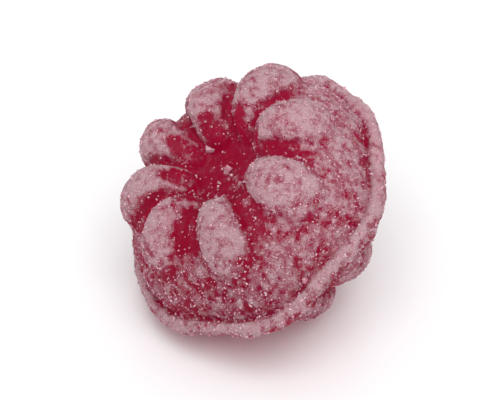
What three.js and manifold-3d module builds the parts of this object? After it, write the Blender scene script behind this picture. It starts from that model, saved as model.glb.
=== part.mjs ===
// A raspberry-shaped boiled sweet, lying at rest. Millimetres, +Z up.
//
// The sweet is one solid drop of boiled sugar, pressed between two dies that meet at a raised seam
// round its widest part. The berry half carries rings of round drupelets. The crown half has fat
// lobes round the hollow that a picked raspberry has. The drop lies on its berry half and leans, so
// that its crown faces up and to one side. It rests on the drupelets that flattened as it cooled.
//
// The drop is made upright first, with its axis on Z, its seam in the plane z = 0 and its crown up.
// It is then turned to its lean, cut flat where it rests, and set down on z = 0.

import * as THREE from 'three';
import { mergeVertices } from 'three/addons/utils/BufferGeometryUtils.js';
import Module from 'manifold-3d';

const wasm = await Module();
wasm.setup();

// ---------- driving dimensions, mm and degrees ----------

const SEAM_RADIUS = 10;
const SEAM_THICKNESS = 1.1;
const SEAM_PROUD = 0.8;          // how far the seam's edge stands out of the groove beside it
const SEAM_ROUNDING = 0.35;      // how much smaller its edge is at the corners
const GROOVE_HEIGHT = 0.33;      // the seam's plane to the groove on either side of it

const BERRY_HEIGHT = 7.8;        // seam to the tip of the berry
const RELIEF = 1.55;              // how far its drupelets stand out of the body
const TIP_FLATNESS = 0.97;       // the floor's depth half way to the belly, as a share of the tip's
const BELLY_RADIUS = 4.9;        // the berry's floor between its rings of drupelets
const BELLY_HEIGHT = 4.65;
const WAIST_RADIUS = 7.7;        // the berry's floor between its widest ring and the seam
const WAIST_HEIGHT = 1.65;
const DRUPELET_WIDTH = 3.8;      // at its middle, which is sunk in the body
const DRUPELET_THICKNESS = 4.2;

const CROWN_HEIGHT = 6.95;        // seam to the top of the lobes
const CROWN_SLOPE = 42;          // how steeply the lobes fall to the seam
const VALLEY_RADIUS = 4.6;       // the top of the valleys between the lobes
const VALLEY_HEIGHT = 5.9;
const SHOULDER_RADIUS = 7.0;     // the valleys' floor, half way down
const SHOULDER_HEIGHT = 4.7;
const SKIRT_RADIUS = 8.7;        // where the lobes end and the plain skirt begins
const SKIRT_HEIGHT = 2.5;
const HOLLOW_RADIUS = 3.0;
const HOLLOW_ROUNDING = 0.6;     // how far its floor curls up at its side
const HOLLOW_DEPTH = 3.0;        // top of the lobes to the floor of the hollow

const LOBE_RADIUS = 5.5;         // the drop's axis to the middle of a lobe, which is sunk in the body
const LOBE_LENGTH = 6.0;
const LOBE_THICKNESS = 5.5;
const LOBE_TAPER = 0.24;         // how much narrower a lobe is at its inner end than in its middle
const LOBE_DROOP = 0.18;         // how far its outer end bends down, as a share of its thickness

const LEAN = 34;                 // between the drop's axis and the vertical
const LEAN_TOWARDS = 199;        // from +X, anticlockwise from above
const CROWN_TURN = 226;          // the lobes' turn about the drop's axis
const BERRY_TURN = 53;           // the drupelets' turn about it
const WORN = 0.65;               // depth of the flats on the drupelets that it rests on

// No two lobes are alike. Each is turned from its even place and sits further out or in.
const LOBES = [
  { width: 3.6, turn: -5, outwards: -0.2 },
  { width: 3.8, turn: -1.5, outwards: 0 },
  { width: 4.3, turn: 2, outwards: 0.2 },
  { width: 3.9, turn: 5, outwards: 0.2 },
  { width: 3.9, turn: 3, outwards: 0.1 },
  { width: 4.0, turn: 2, outwards: -0.1 },
  { width: 3.9, turn: -0.5, outwards: 0 },
  { width: 3.8, turn: -5, outwards: -0.2 },
];

// Rings of drupelets, from the tip outwards: where they are, how their faces slope, how much longer
// than wide they are, and how far round each ring starts, as a share of the way between two.
const RINGS = [
  { count: 4, radius: 1.55, height: -5.4, slope: 15, stretch: 1, start: 0.5 },
  { count: 8, radius: 4.2, height: -4.15, slope: 42, stretch: 1.1, start: 0 },
  { count: 12, radius: 6.05, height: -1.75, slope: 52, stretch: 1.3, start: 0.5 },
];

// The sweet left the dies soft, and set a little out of round. Each wave has some corners round
// the seam, stands this high at the seam, and starts at this phase.
const WAVES = [
  { corners: 2, height: 0.28, phase: -65 },
  { corners: 3, height: 0.12, phase: -85 },
  { corners: 5, height: 0.25, phase: -170 },
  { corners: 7, height: 0.24, phase: -37 },
];

// How square the lobes and drupelets are: 2 would make them ellipsoids.
const BOXINESS = 2.5;

// How far the like parts of the drop differ from each other, as shares of their size.
const UNLIKE = 0.05;
const MOVED = 0.015;
const TWISTED = 2;               // degrees
const SEED = 20;

// ---------- fineness of the solids ----------

const BODY_SEGMENTS = 64;
const BODY_STEPS = 13;           // along each half's profile
const BUMP_SEGMENTS = 13;
const BUMP_RINGS = 8;

const radians = THREE.MathUtils.degToRad;
const { sin, cos, hypot, atan2, PI } = Math;

// ---------- solids ----------

function seededRandom(seed) {
  let state = seed;
  return () => {
    state = (state * 1664525 + 1013904223) % 4294967296;
    return state / 4294967296;
  };
}

const random = seededRandom(SEED);

// A number within share of 1, either way.
function about(share) {
  return 1 + share * (2 * random() - 1);
}

// A closed geometry as a solid: shared corners are merged and faces without area are left out.
function solid(geometry) {
  const bare = geometry.clone();
  bare.deleteAttribute('normal');
  bare.deleteAttribute('uv');
  const merged = mergeVertices(bare, 1e-4);
  const index = merged.index.array;
  const triVerts = [];
  for (let i = 0; i < index.length; i += 3) {
    const [a, b, c] = index.slice(i, i + 3);
    if (a !== b && b !== c && c !== a) triVerts.push(a, b, c);
  }
  return new wasm.Manifold(new wasm.Mesh({
    numProp: 3,
    vertProperties: new Float32Array(merged.attributes.position.array),
    triVerts: new Uint32Array(triVerts),
  }));
}

function geometryOf(body) {
  const { vertProperties, triVerts } = body.getMesh();
  const geometry = new THREE.BufferGeometry();
  geometry.setAttribute('position', new THREE.BufferAttribute(new Float32Array(vertProperties), 3));
  geometry.setIndex(new THREE.BufferAttribute(new Uint32Array(triVerts), 1));
  return geometry;
}

// ---------- the body under the lobes and drupelets ----------

// From the tip of the berry, along the floor between its drupelets, to the groove by the seam.
function berryFloor(groove) {
  const tip = RELIEF - BERRY_HEIGHT;
  const curve = new THREE.SplineCurve([
    new THREE.Vector2(0, tip),
    new THREE.Vector2(BELLY_RADIUS / 2, TIP_FLATNESS * tip),
    new THREE.Vector2(BELLY_RADIUS, -BELLY_HEIGHT),
    new THREE.Vector2(WAIST_RADIUS, -WAIST_HEIGHT),
    new THREE.Vector2(groove, -GROOVE_HEIGHT),
  ]);
  return curve.getPoints(BODY_STEPS);
}

function seamEdge() {
  const edge = SEAM_THICKNESS / 2;
  const corner = SEAM_RADIUS - SEAM_ROUNDING;
  return [
    new THREE.Vector2(corner, -edge),
    new THREE.Vector2(SEAM_RADIUS, -edge / 2),
    new THREE.Vector2(SEAM_RADIUS, edge / 2),
    new THREE.Vector2(corner, edge),
  ];
}

// From the groove up the skirt, along the floor of the valleys, and down into the hollow.
function crownFloor(groove) {
  const hollowFloor = CROWN_HEIGHT - HOLLOW_DEPTH;
  const curve = new THREE.SplineCurve([
    new THREE.Vector2(groove, GROOVE_HEIGHT),
    new THREE.Vector2(SKIRT_RADIUS, SKIRT_HEIGHT),
    new THREE.Vector2(SHOULDER_RADIUS, SHOULDER_HEIGHT),
    new THREE.Vector2(VALLEY_RADIUS, VALLEY_HEIGHT),
    new THREE.Vector2(HOLLOW_RADIUS, hollowFloor + HOLLOW_ROUNDING),
    new THREE.Vector2(HOLLOW_RADIUS / 2, hollowFloor),
    new THREE.Vector2(0, hollowFloor),
  ]);
  return curve.getPoints(BODY_STEPS);
}

function body() {
  const groove = SEAM_RADIUS - SEAM_PROUD;
  const profile = [...berryFloor(groove), ...seamEdge(), ...crownFloor(groove)];
  const geometry = new THREE.LatheGeometry(profile, BODY_SEGMENTS);
  geometry.rotateX(PI / 2);
  return solid(geometry);
}

// ---------- lobes and drupelets ----------

// One bump: long in x, wide in y and thick in z. Its -x end is narrower by taper, and its +x end
// bends down by droop.
function bump(length, width, thickness, taper = 0, droop = 0) {
  const geometry = new THREE.SphereGeometry(1, BUMP_SEGMENTS, BUMP_RINGS);
  geometry.rotateX(PI / 2);
  const place = geometry.attributes.position;
  for (let i = 0; i < place.count; i += 1) {
    const corner = new THREE.Vector3().fromBufferAttribute(place, i);
    const powers = corner.toArray().map((side) => Math.abs(side) ** BOXINESS);
    corner.divideScalar((powers[0] + powers[1] + powers[2]) ** (1 / BOXINESS));
    const narrowed = corner.y * (1 + taper * Math.min(corner.x, 0));
    const lowered = corner.z - 2 * droop * Math.max(corner.x, 0) ** 2;
    place.setXYZ(i, corner.x, narrowed, lowered);
  }
  geometry.scale(length / 2, width / 2, thickness / 2);
  return geometry;
}

// A bump stood at a radius and height, its length sloping down outwards, and turned about the axis.
function placed(geometry, radius, height, slope, turn) {
  geometry.rotateY(radians(slope));
  geometry.translate(radius, 0, height);
  geometry.rotateZ(radians(turn));
  return solid(geometry);
}

function lobes() {
  const slope = radians(CROWN_SLOPE);
  const rise = hypot(sin(slope) * LOBE_LENGTH, cos(slope) * LOBE_THICKNESS) / 2;
  return LOBES.map(({ width, turn, outwards }, i) => {
    const length = LOBE_LENGTH * about(UNLIKE / 2);
    const shape = bump(length, width, LOBE_THICKNESS, LOBE_TAPER, LOBE_DROOP);
    const height = (CROWN_HEIGHT - rise) * about(MOVED);
    const evenTurn = CROWN_TURN + (i * 360) / LOBES.length;
    return placed(shape, LOBE_RADIUS + outwards, height, CROWN_SLOPE, evenTurn + turn);
  });
}

function drupelets() {
  const made = [];
  for (const { count, radius, height, slope, stretch, start } of RINGS) {
    const step = 360 / count;
    for (let i = 0; i < count; i += 1) {
      const width = DRUPELET_WIDTH * about(UNLIKE);
      const shape = bump(stretch * width, width, DRUPELET_THICKNESS * about(UNLIKE / 2));
      const turn = BERRY_TURN + (i + start) * step + TWISTED * (2 * random() - 1);
      made.push(placed(shape, radius * about(MOVED), height * about(MOVED), -slope, turn));
    }
  }
  return made;
}

// ---------- the drop ----------

function outOfRound(geometry) {
  const place = geometry.attributes.position;
  for (let i = 0; i < place.count; i += 1) {
    const turn = atan2(place.getY(i), place.getX(i));
    const radius = hypot(place.getX(i), place.getY(i));
    let outwards = 0;
    for (const { corners, height, phase } of WAVES) {
      outwards += height * sin(corners * turn + radians(phase));
    }
    const grow = 1 + (outwards * radius) / SEAM_RADIUS ** 2;
    place.setX(i, place.getX(i) * grow);
    place.setY(i, place.getY(i) * grow);
  }
  return geometry;
}

function uprightDrop() {
  let drop = body();
  for (const shape of [...lobes(), ...drupelets()]) drop = drop.add(shape);
  return outOfRound(geometryOf(drop));
}

function leaned(geometry) {
  const towards = radians(LEAN_TOWARDS);
  const hinge = new THREE.Vector3(-sin(towards), cos(towards), 0);
  geometry.applyMatrix4(new THREE.Matrix4().makeRotationAxis(hinge, radians(LEAN)));
  return geometry;
}

// The part of the drop above its resting plane, set down on z = 0 with its box centred there.
function setDown(geometry) {
  geometry.computeBoundingBox();
  const rest = geometry.boundingBox.min.z + WORN;
  const size = 4 * SEAM_RADIUS;
  const above = new THREE.BoxGeometry(size, size, size);
  above.translate(0, 0, rest + size / 2);
  const cut = geometryOf(solid(geometry).intersect(solid(above)));
  cut.computeBoundingBox();
  const { min, max } = cut.boundingBox;
  cut.translate(-(min.x + max.x) / 2, -(min.y + max.y) / 2, -rest);
  return cut;
}

const boiledSugar = new THREE.MeshStandardMaterial({ color: 0xa04a60, roughness: 0.75, metalness: 0 });

const sweet = new THREE.Mesh(setDown(leaned(uprightDrop())), boiledSugar);
sweet.name = 'raspberry_sweet';

const group = new THREE.Group();
group.add(sweet);

export default group;
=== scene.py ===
"""A raspberry-shaped boiled sweet, dusted with sugar, lying on a pale floor."""

import math

import bpy
import numpy as np
from mathutils import Matrix, Quaternion, Vector, noise


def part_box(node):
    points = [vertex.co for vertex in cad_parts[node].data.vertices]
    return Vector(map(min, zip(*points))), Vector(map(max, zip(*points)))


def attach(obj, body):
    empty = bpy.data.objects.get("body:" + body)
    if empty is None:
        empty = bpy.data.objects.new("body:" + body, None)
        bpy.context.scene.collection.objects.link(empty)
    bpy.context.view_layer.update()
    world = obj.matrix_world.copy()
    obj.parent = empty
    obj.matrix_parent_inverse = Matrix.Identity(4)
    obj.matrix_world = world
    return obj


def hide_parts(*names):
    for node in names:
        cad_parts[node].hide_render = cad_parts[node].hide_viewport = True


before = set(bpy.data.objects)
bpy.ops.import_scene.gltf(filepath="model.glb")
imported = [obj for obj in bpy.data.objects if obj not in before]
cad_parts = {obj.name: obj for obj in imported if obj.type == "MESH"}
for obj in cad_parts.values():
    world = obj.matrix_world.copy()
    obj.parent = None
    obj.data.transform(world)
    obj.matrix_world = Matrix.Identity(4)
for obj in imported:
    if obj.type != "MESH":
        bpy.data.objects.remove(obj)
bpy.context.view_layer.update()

# ---------- driving dimensions, mm and degrees ----------

MM = 0.001

SEAM_RADIUS = 10
SEAM_THICKNESS = 1.1
SEAM_PROUD = 0.8          # how far the seam's edge stands out of the groove beside it
SEAM_ROUNDING = 0.35      # how much smaller its edge is at the corners
GROOVE_HEIGHT = 0.33      # the seam's plane to the groove on either side of it

BERRY_HEIGHT = 7.8        # seam to the tip of the berry
RELIEF = 1.55             # how far its drupelets stand out of the body at the tip
TIP_FLATNESS = 0.97       # the floor's depth half way to the belly, as a share of the tip's
BELLY_RADIUS = 4.9        # the berry's floor between its rings of drupelets
BELLY_HEIGHT = 4.65
WAIST_RADIUS = 7.7        # the berry's floor between its widest ring and the seam
WAIST_HEIGHT = 1.65
DRUPELET_WIDTH = 3.8      # at its middle, which is sunk in the body
DRUPELET_THICKNESS = 4.2

CROWN_HEIGHT = 6.95       # seam to the top of the lobes
CROWN_SLOPE = 42          # how steeply the lobes fall to the seam
VALLEY_RADIUS = 4.6       # the top of the valleys between the lobes
VALLEY_HEIGHT = 5.9
SHOULDER_RADIUS = 7.0     # the valleys' floor, half way down
SHOULDER_HEIGHT = 4.7
SKIRT_RADIUS = 8.7        # where the lobes end and the plain skirt begins
SKIRT_HEIGHT = 2.5
HOLLOW_RADIUS = 3.0
HOLLOW_ROUNDING = 0.6     # how far its floor curls up at its side
HOLLOW_DEPTH = 3.0        # top of the lobes to the floor of the hollow

LOBE_RADIUS = 5.5         # the drop's axis to the middle of a lobe, which is sunk in the body
LOBE_LENGTH = 6.0
LOBE_THICKNESS = 5.5
LOBE_TAPER = 0.24         # how much narrower a lobe is at its inner end than in its middle
LOBE_DROOP = 0.18         # how far its outer end bends down, as a share of its thickness

LEAN = 34                 # between the drop's axis and the vertical
LEAN_TOWARDS = 199        # from +X, anticlockwise from above
CROWN_TURN = 226          # the lobes' turn about the drop's axis
BERRY_TURN = 53           # the drupelets' turn about it
WORN = 0.65               # depth of the deepest flat on the drupelets that it rests on

# No two lobes are alike: each one's width, its turn from its even place, and how far out it sits.
LOBES = [
    (3.6, -5, -0.2),
    (3.8, -1.5, 0),
    (4.3, 2, 0.2),
    (3.9, 5, 0.2),
    (3.9, 3, 0.1),
    (4.0, 2, -0.1),
    (3.9, -0.5, 0),
    (3.8, -5, -0.2),
]

# Rings of drupelets, from the tip outwards: how many, their radius and height, how their faces
# slope, how much longer than wide they are, and by what share of a step each ring is turned.
RINGS = [
    (4, 1.55, -5.4, 15, 1, 0.5),
    (8, 4.2, -4.15, 42, 1.1, 0),
    (12, 6.05, -1.75, 52, 1.3, 0.5),
]

# Waves round the seam: how many corners each has, its height there and its phase.
WAVES = [(2, 0.28, -65), (3, 0.12, -85), (5, 0.25, -170), (7, 0.24, -37)]

BOXINESS = 2.5            # how square lobes and drupelets are: 2 would make them ellipsoids

UNLIKE = 0.05             # how far like parts differ, as a share of their size
MOVED = 0.015             # how far they are from their even places, as a share of radius or height
TWISTED = 2               # how far drupelets are turned from their even places, either way
SEED = 20

# ---------- how finely it is made ----------

PROFILE_STEPS = 26        # on each half of the body's profile
AXIS_RADIUS = 0.05        # where the profile ends, just off the axis
BODY_SIDES = 96
EGG_SEGMENTS = 40
EGG_RINGS = 20
VOXEL = 0.145             # the sweet's mesh is about this fine
STEPS_ROUNDED = 1         # rounds of smoothing that take off the voxels' steps
ROOTS_ROUNDED = 9         # rounds that round off where lobes and drupelets meet the body
SEAM_KEPT = 0.8           # up to this height the seam stays sharp, and it is smooth at twice that
SMOOTHED_AWAY = 24        # rounds that leave only broad shapes, to tell what stands out
EVENED_BY = 0.5           # how far each round moves a point to its neighbours' mean

# ---------- the sugar on it ----------

CRUST = 0.09              # thickness of the dust where it is thick
CRUST_STARTS = 0.36       # the amount of dust at which the crust begins, and where it is whole
CRUST_WHOLE = 0.56

# Amounts of dust: 0 is bare and 1 is the thickest. A pair is where something begins and where it
# is complete. Lengths are in mm, and facing is 1 straight that way and 0 square to it.
LEAST_DUST = 0.05
LOBE_DUST = 0.92
LOBE_RELIEF = (0, 0.9)    # how far out of the body's profile
DRUPELET_DUST = 1
DRUPELET_RELIEF = (0.1, 1.1)
SEAM_DUST = 1
SEAM_DUST_FADES = (0.65, 0.85)    # how far above and below the seam's plane
BAND_DUST = 0.74          # on the berry half beside the seam
BAND_HEIGHT = (-1.9, -1.0)
SKIRT_DUST = 0.6
SKIRT_DUST_RADIUS = (5.7, 7.9)
SKIRT_DUST_VARIES = 0.16  # the skirt is dustier on one side
DUSTY_SIDE = 0            # which side, from +X round the drop's axis
INNER_BARE = 0.9          # how much of it is missing on the sides of the hollow
FACING_INWARDS = (0.4, 0.65)
RUBBED_OFF = 0.9          # how much of it is missing underneath
FACING_DOWN = (0.4, 0.9)
NEAR_FLOOR = (0.4, 1.8)   # heights over the floor where its rubbing off ends
DUST_AND_LIGHT_FROM = (-0.6, 0.5, 0.63)     # what faces this way has more pale dust: partly dust kept, partly painted light from the upper left and back
DUSTIER_AND_LIT_BY = 0.1
CAUGHT_ON_EDGES = 0.9     # what stands out has more of it, by this much for each mm
EDGE_LEAST = -0.14        # and within these limits, mm
EDGE_MOST = 0.1

FURROW = 0.17             # how wide a line inside the seam has little dust
FURROW_BARE = 0.7
PARTING = 0.16            # how wide the mould's parting line on the seam is, which has little too
PARTING_HEIGHT = -0.1
PARTING_BARE = 0.9
LINES_SIDE = -10          # where both lines are barest, from +X round the drop's axis
LINES_LEAST = 0.3         # how bare they are where they are broken
LINES_BROKEN = (-0.25, 0.2)       # the noise below which they are broken, and above which whole

# Layers of noise: how strong each is, the size of its blotches in mm, its octaves and its seed.
FINER = 2                 # how much finer and fainter each octave is than the last
SEED_STEPS = (17.3, 5.1, 9.7)     # how far apart in the noise one seed is from the next
LINE_GAPS = [(1, 1.6, 2, 7)]
PATCHES = [(0.42, 1.2, 3, 14), (0.22, 0.45, 2, 2)]      # in the amount of dust
LUMPS = [(0.5, 0.3, 2, 3)]                              # in the crust's thickness, as a share
WAVINESS = [(0.06, 2.2, 2, 4), (0.03, 0.8, 2, 5)]       # in the surface, mm
SEAM_WAVINESS = [(0.12, 1.5, 3, 6)]                     # in the seam's edge, mm

GRAINS = 11000
GRAIN_SIZE = 0.075
GRAIN_SIZE_VARIES = 0.45
GRAIN_SIZE_LIMITS = (0.5, 2.2)    # as shares of the size
LOWEST_GRAIN = 0.3        # height over the floor
# Chances of a grain: anywhere, and how much more where the dust is mottled and where it is thick.
GRAINS_ANYWHERE = 0.12
GRAINS_ON_MOTTLED = 0.5
MOTTLED = 0.45            # the amount of dust that is most mottled
MOTTLED_REACH = 0.2       # how far from that amount it is still mottled
GRAINS_ON_THICK = 0.5
THICK = (0.5, 0.8)

CRYSTALS = 26             # larger ones, most of them caught in the hollow
CRYSTAL_SIZE = 0.26
CRYSTALS_ANYWHERE = 0.02  # the chance of one outside the hollow, where it is about 1 inside
CRYSTAL_SIDES = (1, 0.8, 0.65)
CRYSTAL_TAPER = 0.7
CRYSTAL_SKEW = 0.12

# ---------- its looks ----------

# Colours as they look on screen, 0 to 255.
DEEP_RED = (170, 6, 51)
DULL_RED = (166, 30, 68)
THIN_DUST = (152, 52, 76)
THIN_DUST_LIGHT = (190, 116, 132)
DUST = (190, 144, 153)
DUST_LIGHT = (236, 212, 217)
CRYSTAL = (186, 124, 140)
CRYSTAL_LIGHT = (212, 176, 186)
FLOOR = (248, 248, 249)

# Noise in the shaders: how many blotches there are in a mm, their detail and their roughness.
BLOTCHES = (1.6, 3, 0.6)
SPECKS = (2, 3, 0.65)
POWDER = (16, 2, 0.6)
RIPPLES = (4, 4, 0.65)
CRYSTAL_TINTS = 2.5       # for the crystals only how many there are in a mm
CRYSTAL_WEAR = 6
CRYSTAL_GRAIN = 25
NOISE_MIDDLE = 0.5        # what such noise has on average
BLOTCHED = 0.5            # how much each changes the amount of dust
SPECKLED = 2.3
POWDERY = 0.5
POWDER_IN_GRAIN = 0.6     # the powder's share in the fine bumps of the dust, the rest being specks
THIN_SPREAD = (0.35, 0.65)        # values of the noise between which the lighter colour comes in
THICK_SPREAD = (0.3, 0.7)
CRYSTAL_SPREAD = (0.35, 0.65)

# Amounts of dust between which one look passes into the next.
DUSTY_LOOK = (0.39, 0.51)
THICK_LOOK = (0.45, 1.25)
FILM_LOOK = (-0.05, 0.4)

# ---------- floor, light and camera, metres and degrees ----------

FLOOR_SIZE = 4
ROOM_LIGHT = 0.75
WINDOW_SIZE = 0.25
WINDOW_POWER = 0.75
WINDOW_PLACE = (0.01, -0.18, 0.29)
LOOKED_AT = (-0.0003, 0, 0.0084)
CAMERA_DISTANCE = 0.3
CAMERA_HEIGHT = 38
CAMERA_LENS = 323         # mm
CAMERA_SENSOR = 36        # mm


def seeded_random(seed):
    """The same draws as the part's own source makes, so every lobe and drupelet is in its place."""
    multiplier = 1664525
    increment = 1013904223
    modulus = 4294967296
    state = seed
    while True:
        state = (state * multiplier + increment) % modulus
        yield state / modulus


draws = seeded_random(SEED)


def about(share):
    """A factor near 1, which differs from it by up to this share."""
    return 1 + share * (2 * next(draws) - 1)


# ---------- modelling helpers ----------

def spline(points, steps):
    """A smooth line through the points, as (radius, height) pairs."""
    points = [Vector(p) for p in points]
    ends = [points[0]] + points + [points[-1]]
    line = []
    for i in range(steps + 1):
        at = (len(points) - 1) * i / steps
        k = min(int(at), len(points) - 2)
        t = at - k
        a, b, c, d = ends[k:k + 4]
        line.append(0.5 * ((2 * b) + (c - a) * t + (2 * a - 5 * b + 4 * c - d) * t * t
                           + (3 * b - a - 3 * c + d) * t ** 3))
    return line


def alone(piece):
    bpy.ops.object.select_all(action="DESELECT")
    piece.select_set(True)
    bpy.context.view_layer.objects.active = piece


def apply_modifier(piece, kind, **settings):
    alone(piece)
    modifier = piece.modifiers.new(kind.lower(), kind)
    for name, value in settings.items():
        setattr(modifier, name, value)
    bpy.ops.object.modifier_apply(modifier=modifier.name)


def joined(pieces):
    bpy.ops.object.select_all(action="DESELECT")
    for piece in pieces:
        piece.select_set(True)
    bpy.context.view_layer.objects.active = pieces[0]
    bpy.ops.object.join()
    return pieces[0]


# ---------- the shape of the sweet ----------

groove = SEAM_RADIUS - SEAM_PROUD
hollow_floor = CROWN_HEIGHT - HOLLOW_DEPTH
crown_line = spline([
    (groove, GROOVE_HEIGHT),
    (SKIRT_RADIUS, SKIRT_HEIGHT),
    (SHOULDER_RADIUS, SHOULDER_HEIGHT),
    (VALLEY_RADIUS, VALLEY_HEIGHT),
    (HOLLOW_RADIUS, hollow_floor + HOLLOW_ROUNDING),
    (HOLLOW_RADIUS / 2, hollow_floor),
    (AXIS_RADIUS, hollow_floor),
], PROFILE_STEPS)

berry_line = spline([
    (AXIS_RADIUS, RELIEF - BERRY_HEIGHT),
    (BELLY_RADIUS / 2, TIP_FLATNESS * (RELIEF - BERRY_HEIGHT)),
    (BELLY_RADIUS, -BELLY_HEIGHT),
    (WAIST_RADIUS, -WAIST_HEIGHT),
    (groove, -GROOVE_HEIGHT),
], PROFILE_STEPS)

edge = SEAM_THICKNESS / 2
corner = SEAM_RADIUS - SEAM_ROUNDING
seam_line = [(corner, -edge), (SEAM_RADIUS, -edge / 2), (SEAM_RADIUS, edge / 2), (corner, edge)]
body_line = [tuple(p) for p in berry_line] + seam_line + [tuple(p) for p in crown_line]


def body():
    """The floor of the valleys: rings from the berry's tip to the hollow, each extruded from the last."""
    radius, height = body_line[0]
    bpy.ops.mesh.primitive_circle_add(vertices=BODY_SIDES, radius=radius, location=(0, 0, height),
                                      fill_type="NGON")
    bpy.ops.object.mode_set(mode="EDIT")
    for wider, higher in body_line[1:]:
        bpy.ops.mesh.extrude_region_move(TRANSFORM_OT_translate={"value": (0, 0, higher - height)})
        bpy.ops.transform.resize(value=(wider / radius, wider / radius, 1))
        radius, height = wider, higher
    bpy.ops.object.mode_set(mode="OBJECT")
    bpy.ops.object.transform_apply(location=True, rotation=True, scale=True)
    return bpy.context.object


def bump(length, width, thickness, slope, radius, height, turn, taper=0, droop=0):
    """An egg: long outwards, narrower at its inner end, sloped, and stood at its place round the axis."""
    bpy.ops.mesh.primitive_uv_sphere_add(segments=EGG_SEGMENTS, ring_count=EGG_RINGS, radius=0.5)
    egg = bpy.context.object
    for point in egg.data.vertices:
        point.co *= 0.5 / sum(abs(x) ** BOXINESS for x in point.co) ** (1 / BOXINESS)
        point.co.y *= 1 + taper * min(2 * point.co.x, 0)
        point.co.z -= droop * max(2 * point.co.x, 0) ** 2
    turned = Matrix.Rotation(math.radians(turn), 4, "Z")
    moved = Matrix.Translation((radius, 0, height))
    sloped = Matrix.Rotation(math.radians(slope), 4, "Y")
    egg.data.transform(turned @ moved @ sloped @ Matrix.Diagonal((length, width, thickness, 1)))
    return egg


def lobes():
    slope = math.radians(CROWN_SLOPE)
    half_height = math.hypot(math.sin(slope) * LOBE_LENGTH, math.cos(slope) * LOBE_THICKNESS) / 2
    made = []
    for i, (width, turn, outwards) in enumerate(LOBES):
        length = LOBE_LENGTH * about(UNLIKE / 2)
        height = (CROWN_HEIGHT - half_height) * about(MOVED)
        turn += CROWN_TURN + i * 360 / len(LOBES)
        made.append(bump(length, width, LOBE_THICKNESS, CROWN_SLOPE, LOBE_RADIUS + outwards, height, turn,
                         LOBE_TAPER, LOBE_DROOP))
    return made


def drupelets():
    made = []
    for count, radius, height, slope, stretch, start in RINGS:
        step = 360 / count
        for i in range(count):
            width = DRUPELET_WIDTH * about(UNLIKE)
            thickness = DRUPELET_THICKNESS * about(UNLIKE / 2)
            turn = BERRY_TURN + (i + start) * step + TWISTED * (2 * next(draws) - 1)
            out = radius * about(MOVED)
            up = height * about(MOVED)
            made.append(bump(stretch * width, width, thickness, -slope, out, up, turn))
    return made


bpy.ops.object.select_all(action="DESELECT")
sweet = joined([body()] + lobes() + drupelets())
sweet.name = "dusted_sweet"
apply_modifier(sweet, "REMESH", mode="VOXEL", voxel_size=VOXEL)


# ---------- points of a mesh, worked on all at once ----------

def points(piece):
    flat = np.empty(len(piece.data.vertices) * 3)
    piece.data.vertices.foreach_get("co", flat)
    return flat.reshape(-1, 3)


def normals(piece):
    flat = np.empty(len(piece.data.vertices) * 3)
    piece.data.vertex_normals.foreach_get("vector", flat)
    return flat.reshape(-1, 3)


def move_points(piece, places):
    piece.data.vertices.foreach_set("co", places.ravel())
    piece.data.update()


class Neighbours:
    """Each point's neighbours in a mesh, to even out a value or a shape over it."""

    def __init__(self, piece):
        mesh = piece.data
        self.edges = np.empty(len(mesh.edges) * 2, int)
        mesh.edges.foreach_get("vertices", self.edges)
        self.edges = self.edges.reshape(-1, 2)
        self.count = len(mesh.vertices)
        self.degree = np.bincount(self.edges.ravel(), minlength=self.count)

    def mean(self, values):
        a, b = self.edges.T
        total = np.bincount(a, values[b], self.count) + np.bincount(b, values[a], self.count)
        return total / self.degree

    def evened(self, values, rounds):
        values = np.array(values, float)
        if values.ndim == 2:
            return np.stack([self.evened(column, rounds) for column in values.T], 1)
        for _ in range(rounds):
            values += EVENED_BY * (self.mean(values) - values)
        return values


near = Neighbours(sweet)
sharp = near.evened(points(sweet), STEPS_ROUNDED)
soft = near.evened(sharp, ROOTS_ROUNDED)
past_seam = np.clip((np.abs(sharp[:, 2]) - SEAM_KEPT) / SEAM_KEPT, 0, 1)[:, None]
smooth = sharp + (soft - sharp) * past_seam
move_points(sweet, smooth)
facing = normals(sweet)


# ---------- out of round and leaned ----------

def out_of_round(places):
    turn = np.arctan2(places[:, 1], places[:, 0])
    radius = np.hypot(places[:, 0], places[:, 1])
    outwards = sum(height * np.sin(corners * turn + math.radians(phase)) for corners, height, phase in WAVES)
    grown = places.copy()
    grown[:, :2] *= (1 + outwards * radius / SEAM_RADIUS ** 2)[:, None]
    return grown


def leaned(places):
    towards = math.radians(LEAN_TOWARDS)
    hinge = Vector((-math.sin(towards), math.cos(towards), 0))
    return places @ np.array(Matrix.Rotation(math.radians(LEAN), 3, hinge)).T


# ---------- where the sugar dust lies ----------

def rise(values, low, high):
    """0 below low, 1 above high, and a smooth step between."""
    t = np.clip((values - low) / (high - low), 0, 1)
    return t * t * (3 - 2 * t)


def relief_over_body(places):
    """How far each point of the upright sweet stands from the body's profile."""
    line = np.array(body_line)
    at = np.stack([np.hypot(places[:, 0], places[:, 1]), places[:, 2]], 1)
    nearest = np.full(len(at), np.inf)
    for start, end in zip(line[:-1], line[1:]):
        way = end - start
        t = np.clip(((at - start) @ way) / (way @ way), 0, 1)
        nearest = np.minimum(nearest, np.linalg.norm(at - start - t[:, None] * way, axis=1))
    return nearest


def blotches(places, size, octaves, seed):
    """Even noise about 0, with blotches of about this size in mm."""
    shift = Vector([seed * step for step in SEED_STEPS])
    return np.array([noise.fractal(Vector(p) / size + shift, 1, FINER, octaves) for p in places])


def noisy(places, layers):
    """Layers of noise, summed."""
    return sum(strength * blotches(places, *layer) for strength, *layer in layers)


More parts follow.
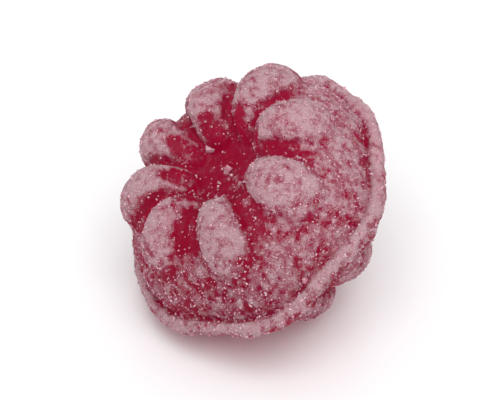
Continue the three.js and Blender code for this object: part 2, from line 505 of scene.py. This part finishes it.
def dust_amount(places, faces):
    """How much sugar has stuck: most on what stands out, least in the valleys and the hollow."""
    radius = np.hypot(places[:, 0], places[:, 1])
    height = places[:, 2]
    turn = np.arctan2(places[:, 1], places[:, 0])
    outwards = faces[:, 0] * np.cos(turn) + faces[:, 1] * np.sin(turn)
    relief = relief_over_body(places)

    skirt = SKIRT_DUST + SKIRT_DUST_VARIES * np.cos(turn - math.radians(DUSTY_SIDE))
    crown = np.maximum(skirt * rise(radius, *SKIRT_DUST_RADIUS), LOBE_DUST * rise(relief, *LOBE_RELIEF))
    crown *= 1 - INNER_BARE * rise(-outwards, *FACING_INWARDS)
    drupelet = DRUPELET_DUST * rise(relief, *DRUPELET_RELIEF)
    berry = np.maximum(drupelet, BAND_DUST * rise(height, *BAND_HEIGHT))
    lip = rise(radius, groove, corner) * (1 - rise(np.abs(height), *SEAM_DUST_FADES))

    lines = LINES_LEAST + (1 - LINES_LEAST) * rise(noisy(places, LINE_GAPS), *LINES_BROKEN)
    lines *= 0.5 + 0.5 * np.cos(turn - math.radians(LINES_SIDE))
    crown *= 1 - FURROW_BARE * lines * np.exp(-((radius - groove) / FURROW) ** 2)
    parting = lines * rise(radius, corner, SEAM_RADIUS) * np.exp(-((height - PARTING_HEIGHT) / PARTING) ** 2)
    seam = SEAM_DUST * lip * (1 - PARTING_BARE * parting)
    amount = np.maximum(np.where(height > 0, crown, berry), seam)
    return amount.clip(LEAST_DUST, 1), lip


bare = leaned(out_of_round(smooth))
rest = bare[:, 2].min() + WORN      # the drupelets that it lies on are flat where they touch
rubbed = np.maximum(rise(-leaned(facing)[:, 2], *FACING_DOWN), 1 - rise(bare[:, 2] - rest, *NEAR_FLOOR))
standing_out = ((smooth - near.evened(smooth, SMOOTHED_AWAY)) * facing).sum(1)
dust_and_light, lip = dust_amount(smooth, facing)
dust_and_light *= 1 - RUBBED_OFF * rubbed
dust_and_light += CAUGHT_ON_EDGES * np.clip(standing_out, EDGE_LEAST, EDGE_MOST)
# painted light: faces turned up, to the left and back get more pale dust, as if lit from that side
dust_and_light += DUSTIER_AND_LIT_BY * leaned(facing) @ DUST_AND_LIGHT_FROM + noisy(smooth, PATCHES)
sweet.data.attributes.new("dust_and_light", "FLOAT", "POINT").data.foreach_set("value", dust_and_light)

crust = rise(dust_and_light, CRUST_STARTS, CRUST_WHOLE) * CRUST * (1 + noisy(smooth, LUMPS))
uneven = noisy(smooth, WAVINESS) + lip * noisy(smooth, SEAM_WAVINESS)
rough = smooth + facing * (crust + uneven)[:, None]

# ---------- set down in the solid's place ----------

cad_low, cad_high = (np.array(end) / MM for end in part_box("raspberry_sweet"))
centring = (cad_low + cad_high) / 2 - (bare.min(0) + bare.max(0)) / 2
placed = leaned(out_of_round(rough)) + (centring[0], centring[1], -rest)
placed[:, 2] = np.maximum(placed[:, 2], 0)
move_points(sweet, placed * MM)
alone(sweet)
bpy.ops.object.shade_smooth()


# ---------- grains and crystals of sugar, modelled once and strewn over it ----------

def crystal():
    """A blocky crystal, its ends unlike, about one unit long."""
    bpy.ops.mesh.primitive_cube_add(size=1)
    made = bpy.context.object
    bpy.ops.object.mode_set(mode="EDIT")
    bpy.ops.mesh.select_all(action="SELECT")
    bpy.ops.transform.resize(value=CRYSTAL_SIDES)
    bpy.ops.object.mode_set(mode="OBJECT")
    for point in made.data.vertices:
        if point.co.x > 0:
            point.co.y *= CRYSTAL_TAPER
            point.co.z += CRYSTAL_SKEW
    return made


def strewn(name, model, onto, chances, count, size, seed):
    """Copies of the model in one mesh, each stuck on a face of onto, more where chances are high."""
    random = np.random.default_rng(seed)
    mesh = onto.data
    mesh.calc_loop_triangles()
    corners = np.empty(len(mesh.loop_triangles) * 3, int)
    mesh.loop_triangles.foreach_get("vertices", corners)
    corners = corners.reshape(-1, 3)
    spots = points(onto)[corners]
    area = np.linalg.norm(np.cross(spots[:, 1] - spots[:, 0], spots[:, 2] - spots[:, 0]), axis=1)
    weight = area * chances[corners].mean(1) * (spots[:, :, 2].min(1) > LOWEST_GRAIN * MM)
    chosen = random.choice(len(corners), count, p=weight / weight.sum())
    share = random.dirichlet((1, 1, 1), count)[:, :, None]
    middles = (spots[chosen] * share).sum(1)

    shape = points(model)
    faces = np.array([face.vertices[:] for face in model.data.polygons])
    turned = random.normal(size=(count, 4))
    turned /= np.linalg.norm(turned, axis=1)[:, None]
    turns = np.array([Quaternion(turn).to_matrix() for turn in turned])
    sizes = size * np.exp(GRAIN_SIZE_VARIES * random.normal(size=count)).clip(*GRAIN_SIZE_LIMITS)
    places = np.einsum("nij,kj->nki", turns, shape) * sizes[:, None, None] * MM + middles[:, None]
    all_faces = faces[None] + len(shape) * np.arange(count)[:, None, None]

    copies = bpy.data.meshes.new(name)
    copies.from_pydata(places.reshape(-1, 3).tolist(), [], all_faces.reshape(-1, 4).tolist())
    piece = bpy.data.objects.new(name, copies)
    bpy.context.scene.collection.objects.link(piece)
    return piece


model = crystal()
mottled = np.exp(-((dust_and_light - MOTTLED) / MOTTLED_REACH) ** 2)
chances = GRAINS_ANYWHERE + GRAINS_ON_MOTTLED * mottled + GRAINS_ON_THICK * rise(dust_and_light, *THICK)
in_hollow = (np.hypot(smooth[:, 0], smooth[:, 1]) < HOLLOW_RADIUS) & (smooth[:, 2] > 0)
grains = strewn("sugar_grains", model, sweet, chances, GRAINS, GRAIN_SIZE, SEED)
crystals = strewn("hollow_crystals", model, sweet, in_hollow + CRYSTALS_ANYWHERE, CRYSTALS, CRYSTAL_SIZE,
                  SEED + 1)
bpy.data.objects.remove(model)


# ---------- shaders, written as sums ----------

class Sum:
    """One output of a shader node, so that shader maths reads as plain sums."""

    def __init__(self, tree, socket):
        self.tree = tree
        self.socket = socket

    def math(self, operation, *others):
        return node(self.tree, "ShaderNodeMath", "Value", {"operation": operation}, self, *others)

    def __add__(self, other):
        return self.math("ADD", other)

    def __sub__(self, other):
        return self.math("SUBTRACT", other)

    def __mul__(self, other):
        return self.math("MULTIPLY", other)

    def __rsub__(self, other):
        return self * -1 + other

    __radd__ = __add__
    __rmul__ = __mul__

    def step(self, low, high):
        """0 below low, 1 above high, and a smooth step between."""
        settings = {"interpolation_type": "SMOOTHSTEP"}
        return node(self.tree, "ShaderNodeMapRange", "Result", settings, self, low, high)


def feed(tree, socket, value):
    """Sets an input to a value, or links it to another node's output."""
    if isinstance(value, Sum):
        tree.links.new(value.socket, socket)
    else:
        socket.default_value = value


def node(tree, kind, output, settings=(), *values, **named):
    """A node with its settings made first, then its inputs fed in order or by name, as one output."""
    made = tree.nodes.new(kind)
    for name, value in dict(settings).items():
        setattr(made, name, value)
    for place, value in enumerate(values):
        feed(tree, made.inputs[place], value)
    for name, value in named.items():
        feed(tree, made.inputs[name.replace("_", " ")], value)
    return Sum(tree, made.outputs[output])


def mixed(tree, factor, a, b):
    """A mix of two colours, each a tuple or a Sum."""
    made = tree.nodes.new("ShaderNodeMix")
    made.data_type = "RGBA"
    colours_in = [socket for socket in made.inputs if socket.type == "RGBA"]
    colours_out = [socket for socket in made.outputs if socket.type == "RGBA"]
    for socket, value in zip([made.inputs[0]] + colours_in, (factor, a, b)):
        feed(tree, socket, value)
    return Sum(tree, colours_out[0])


def material(name):
    made = bpy.data.materials.new(name)
    made.use_nodes = True
    made.node_tree.nodes.clear()
    return made, made.node_tree


def in_mm(tree):
    place = node(tree, "ShaderNodeTexCoord", "Object")
    return node(tree, "ShaderNodeVectorMath", "Vector", {"operation": "SCALE"}, place, Scale=1 / MM)


def noise_of(tree, place, per_mm, detail=2, roughness=0.5):
    return node(tree, "ShaderNodeTexNoise", "Fac", (), Vector=place, Scale=per_mm, Detail=detail,
                Roughness=roughness)


def surface(tree, shader):
    output = tree.nodes.new("ShaderNodeOutputMaterial")
    tree.links.new(shader.socket, output.inputs["Surface"])


def colour(on_screen):
    """A colour as the shaders want it, from how it looks on screen."""
    parts = [value / 255 for value in on_screen]
    return tuple(v / 12.92 if v < 0.04 else ((v + 0.055) / 1.055) ** 2.4 for v in parts) + (1,)


def dusted_sugar():
    """Red boiled sugar that light enters, under dust where the sweet's own amount of dust says so; that
    amount holds some painted light too.
    """
    made, tree = material("dusted_sugar")
    place = in_mm(tree)
    dust_and_light = node(tree, "ShaderNodeAttribute", "Fac", {"attribute_name": "dust_and_light"})
    blotch = noise_of(tree, place, *BLOTCHES)
    speck = noise_of(tree, place, *SPECKS)
    powder = noise_of(tree, place, *POWDER)

    amount = (dust_and_light + BLOTCHED * (blotch - NOISE_MIDDLE) + SPECKLED * (speck - NOISE_MIDDLE)
              + POWDERY * (powder - NOISE_MIDDLE))
    dusty = amount.step(*DUSTY_LOOK)
    thick = amount.step(*THICK_LOOK)
    film = amount.step(*FILM_LOOK)

    sugar_colour = mixed(tree, film, colour(DEEP_RED), colour(DULL_RED))
    thin_colour = mixed(tree, powder.step(*THIN_SPREAD), colour(THIN_DUST), colour(THIN_DUST_LIGHT))
    thick_colour = mixed(tree, powder.step(*THICK_SPREAD), colour(DUST), colour(DUST_LIGHT))
    dust_colour = mixed(tree, thick, thin_colour, thick_colour)

    grain = POWDER_IN_GRAIN * powder + (1 - POWDER_IN_GRAIN) * speck
    dust_bump = node(tree, "ShaderNodeBump", "Normal", (), Strength=0.55, Distance=0.04 * MM, Height=grain)
    sugar_bump = node(tree, "ShaderNodeBump", "Normal", (), Strength=0.5, Distance=0.06 * MM,
                      Height=noise_of(tree, place, *RIPPLES))
    sugar = node(tree, "ShaderNodeBsdfPrincipled", "BSDF", {"subsurface_method": "RANDOM_WALK"},
                 Base_Color=sugar_colour, Roughness=0.3 + 0.4 * film, Normal=sugar_bump,
                 Subsurface_Weight=0.6, Subsurface_Radius=(1, 0.12, 0.18), Subsurface_Scale=2.2 * MM,
                 Specular_IOR_Level=0.2, Transmission_Weight=0.55, IOR=1.2)
    dust = node(tree, "ShaderNodeBsdfPrincipled", "BSDF", {"subsurface_method": "RANDOM_WALK"},
                Base_Color=dust_colour, Roughness=0.9, Normal=dust_bump,
                Subsurface_Weight=0.15, Subsurface_Radius=(1, 0.5, 0.6), Subsurface_Scale=0.3 * MM,
                Specular_IOR_Level=0.2, Transmission_Weight=0.5, IOR=1.2)
    surface(tree, node(tree, "ShaderNodeMixShader", "Shader", (), dusty, sugar, dust))
    return made


def crystal_sugar():
    """Pale pink sugar for the grains and the crystals, unevenly dull."""
    made, tree = material("sugar_crystal")
    place = in_mm(tree)
    light = noise_of(tree, place, CRYSTAL_TINTS).step(*CRYSTAL_SPREAD)
    tint = mixed(tree, light, colour(CRYSTAL), colour(CRYSTAL_LIGHT))
    worn = node(tree, "ShaderNodeBump", "Normal", (), Strength=0.2, Distance=0.01 * MM,
                Height=noise_of(tree, place, CRYSTAL_GRAIN))
    surface(tree, node(tree, "ShaderNodeBsdfPrincipled", "BSDF", (), Base_Color=tint,
                       Roughness=0.3 + 0.5 * noise_of(tree, place, CRYSTAL_WEAR), Normal=worn,
                       Subsurface_Weight=0.4, Subsurface_Radius=(1, 0.6, 0.7),
                       Subsurface_Scale=0.2 * MM, Specular_IOR_Level=0.3))
    return made


def pale_floor():
    made, tree = material("pale_floor")
    surface(tree, node(tree, "ShaderNodeBsdfPrincipled", "BSDF", (), Base_Color=colour(FLOOR),
                       Roughness=0.3, Specular_IOR_Level=0.6))
    return made


sweet.data.materials.clear()
sweet.data.materials.append(dusted_sugar())
crystal_look = crystal_sugar()
for piece in (grains, crystals):
    piece.data.materials.append(crystal_look)
for piece in (sweet, grains, crystals):
    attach(piece, "root")
    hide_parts("raspberry_sweet")


# ---------- floor, light and camera ----------

bpy.ops.mesh.primitive_plane_add(size=FLOOR_SIZE)
floor = bpy.context.object
floor.name = "floor"
floor.data.materials.append(pale_floor())

scene = bpy.context.scene
scene.view_settings.view_transform = "Standard"
world = bpy.data.worlds.new("soft_room")
scene.world = world
world.use_nodes = True
room = world.node_tree.nodes["Background"]
room.inputs["Color"].default_value = (1, 1, 1, 1)
room.inputs["Strength"].default_value = ROOM_LIGHT


def looking_at(piece, place, target):
    piece.location = place
    piece.rotation_euler = (Vector(target) - Vector(place)).to_track_quat("-Z", "Y").to_euler()
    scene.collection.objects.link(piece)


lamp = bpy.data.lights.new("window", "AREA")
lamp.size = WINDOW_SIZE
lamp.energy = WINDOW_POWER
looking_at(bpy.data.objects.new("window", lamp), WINDOW_PLACE, LOOKED_AT)

camera = bpy.data.cameras.new("camera")
camera.sensor_width = CAMERA_SENSOR
camera.lens = CAMERA_LENS
view = bpy.data.objects.new("camera", camera)
back = CAMERA_DISTANCE * math.cos(math.radians(CAMERA_HEIGHT))
up = CAMERA_DISTANCE * math.sin(math.radians(CAMERA_HEIGHT))
looking_at(view, (LOOKED_AT[0], LOOKED_AT[1] - back, LOOKED_AT[2] + up), LOOKED_AT)
scene.camera = view
